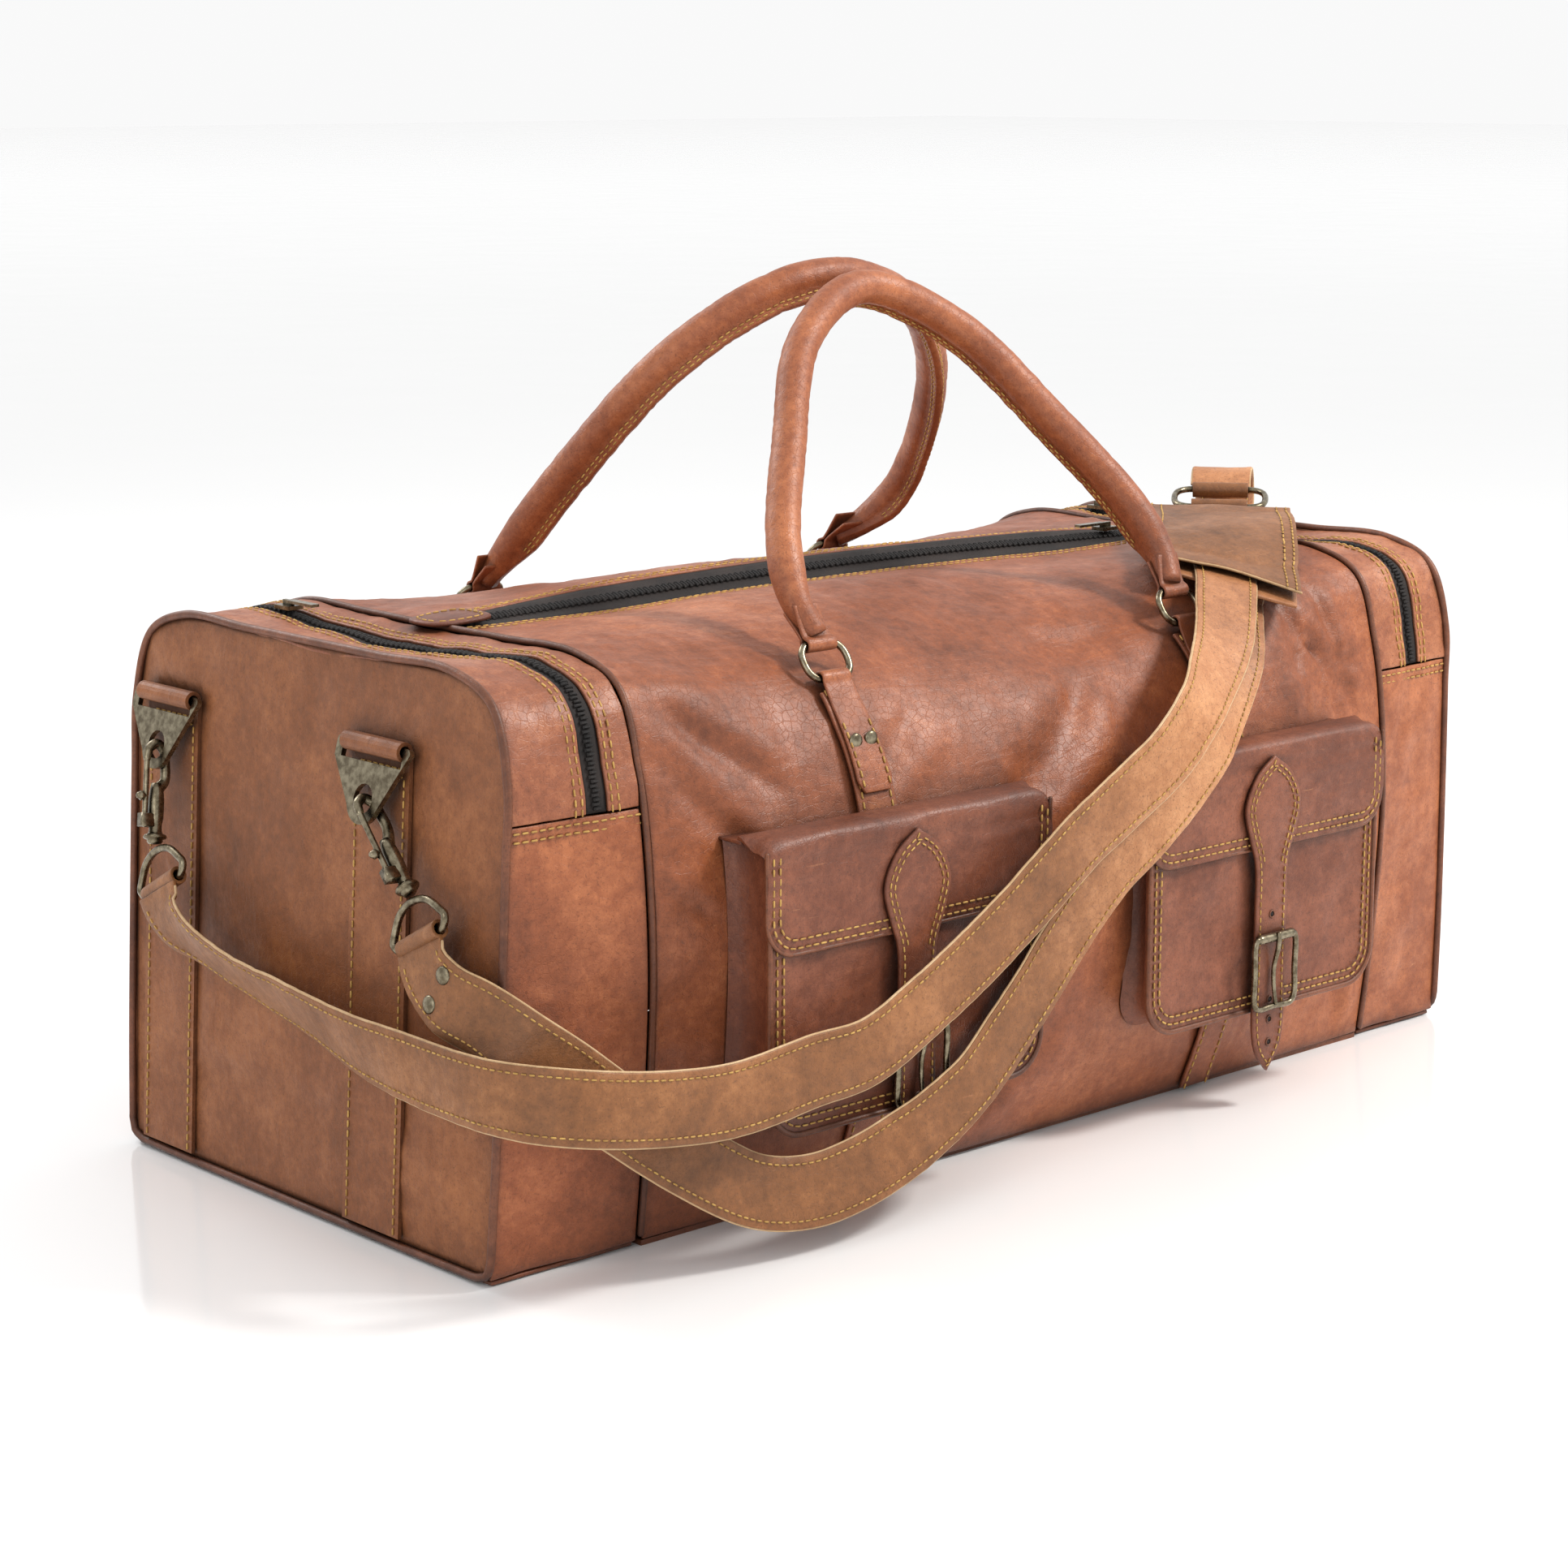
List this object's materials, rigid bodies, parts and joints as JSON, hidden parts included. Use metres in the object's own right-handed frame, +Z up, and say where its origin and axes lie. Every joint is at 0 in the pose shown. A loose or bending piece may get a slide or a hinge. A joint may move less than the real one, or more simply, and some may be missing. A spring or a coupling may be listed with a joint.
{
  "type": "duffel bag",
  "caption": "Large soft leather travel bag with zipped top and end pockets, buckled flap pockets, rolled twin handles and a clip-on padded shoulder strap.",
  "frame": {"origin": "middle of the underside, on the floor", "axes": "+X along the bag to the end without hooks, +Y to the back, +Z up; the flap pockets face -Y"},
  "size_m": [0.8058, 0.4544, 0.4978],
  "materials": {
    "leather": "waxed, pulled-up tan leather",
    "dark_leather": "waxed red-brown leather",
    "strap_leather": "creased light tan leather",
    "piping": "dark rolled leather edge",
    "zip": "black tape and coil",
    "brass": "antique brass",
    "board": "lined stiffening board"
  },
  "bodies": {
    "bag": {"front_panel": "leather", "back_panel": "leather", "base_panel": "leather", "front_strap_left": "leather", "front_strap_right": "leather", "back_strap_left": "leather", "back_strap_right": "leather", "base_board": "board", "main_zip": "zip", "left_end_zip": "zip", "right_end_zip": "zip", "left_gusset_lower": "leather", "left_gusset_outer": "leather", "left_gusset_inner": "leather", "left_end_panel": "leather", "left_front_strap": "leather", "left_back_strap": "leather", "left_divider": "dark_leather", "pocket_left": "dark_leather", "left_end_piping": "piping", "left_seam_piping": "piping", "left_front_triangle": "brass", "left_back_triangle": "brass", "right_gusset_lower": "leather", "right_gusset_outer": "leather", "right_gusset_inner": "leather", "right_end_panel": "leather", "right_front_strap": "leather", "right_back_strap": "leather", "right_divider": "dark_leather", "pocket_right": "dark_leather", "right_end_piping": "piping", "right_seam_piping": "piping", "shoulder_strap_long": "strap_leather", "shoulder_strap_short": "strap_leather", "shoulder_pad": "strap_leather", "strap_buckle": "brass", "front_snap_body": "brass", "front_snap_ring": "brass", "back_snap_body": "brass", "back_snap_ring": "brass"},
    "front_handle": {"handle_front": "leather", "handle_front_ring_left": "brass", "handle_front_ring_right": "brass"},
    "back_handle": {"handle_back": "leather", "handle_back_ring_left": "brass", "handle_back_ring_right": "brass"},
    "left_flap": {"flap_left": "dark_leather", "flap_strap_left": "dark_leather", "flap_buckle_left": "brass"},
    "right_flap": {"flap_right": "dark_leather", "flap_strap_right": "dark_leather", "flap_buckle_right": "brass"},
    "front_bolt": {"front_snap_bolt": "brass"},
    "back_bolt": {"back_snap_bolt": "brass"},
    "main_slider": {"main_zip_slider": "brass"},
    "left_slider": {"left_end_zip_slider": "brass"},
    "right_slider": {"right_end_zip_slider": "brass"},
    "right_front_ring": {"right_front_triangle": "brass"},
    "right_back_ring": {"right_back_triangle": "brass"}
  },
  "joints": [
    {"name": "handle_front_swing", "type": "hinge", "parent": "bag", "child": "front_handle", "pos_m": [0, -0.16, 0.285], "axis": [1, 0, 0], "range_deg": [0, 60], "deforming": ["shoulder_strap_long", "shoulder_strap_short"]},
    {"name": "handle_back_swing", "type": "hinge", "parent": "bag", "child": "back_handle", "pos_m": [0, 0.16, 0.285], "axis": [-1, 0, 0], "range_deg": [0, 150]},
    {"name": "flap_left_lift", "type": "hinge", "parent": "bag", "child": "left_flap", "pos_m": [-0.143, -0.2015, 0.2205], "axis": [-1, 0, 0], "range_deg": [0, 110], "deforming": ["shoulder_strap_long", "shoulder_strap_short"]},
    {"name": "flap_right_lift", "type": "hinge", "parent": "bag", "child": "right_flap", "pos_m": [0.148, -0.2015, 0.2205], "axis": [-1, 0, 0], "range_deg": [0, 110], "deforming": ["shoulder_strap_long", "shoulder_strap_short"]},
    {"name": "front_bolt_slide", "type": "slide", "parent": "bag", "child": "front_bolt", "axis": [-0.0623, -0.7135, -0.6979], "range_m": [0, 0.006], "stiffness_N_per_m": 150, "springref_m": -0.002},
    {"name": "back_bolt_slide", "type": "slide", "parent": "bag", "child": "back_bolt", "axis": [-0.2337, -0.2398, -0.9423], "range_m": [0, 0.006], "stiffness_N_per_m": 150, "springref_m": -0.002},
    {"name": "main_zip_open", "type": "hinge", "parent": "bag", "child": "main_slider", "pos_m": [0.0095, 0, -5.251], "axis": [0, -1, 0], "range_deg": [0, 5.1]},
    {"name": "left_zip_open", "type": "slide", "parent": "bag", "child": "left_slider", "axis": [0, -1, 0], "range_m": [0, 0.18]},
    {"name": "right_zip_open", "type": "slide", "parent": "bag", "child": "right_slider", "axis": [0, -1, 0], "range_m": [0, 0.18]},
    {"name": "right_front_ring_swing", "type": "hinge", "parent": "bag", "child": "right_front_ring", "pos_m": [0.38702, -0.068, 0.265], "axis": [0, -1, 0], "range_deg": [0, 150]},
    {"name": "right_back_ring_swing", "type": "hinge", "parent": "bag", "child": "right_back_ring", "pos_m": [0.38702, 0.128, 0.265], "axis": [0, -1, 0], "range_deg": [0, 150]}
  ]
}
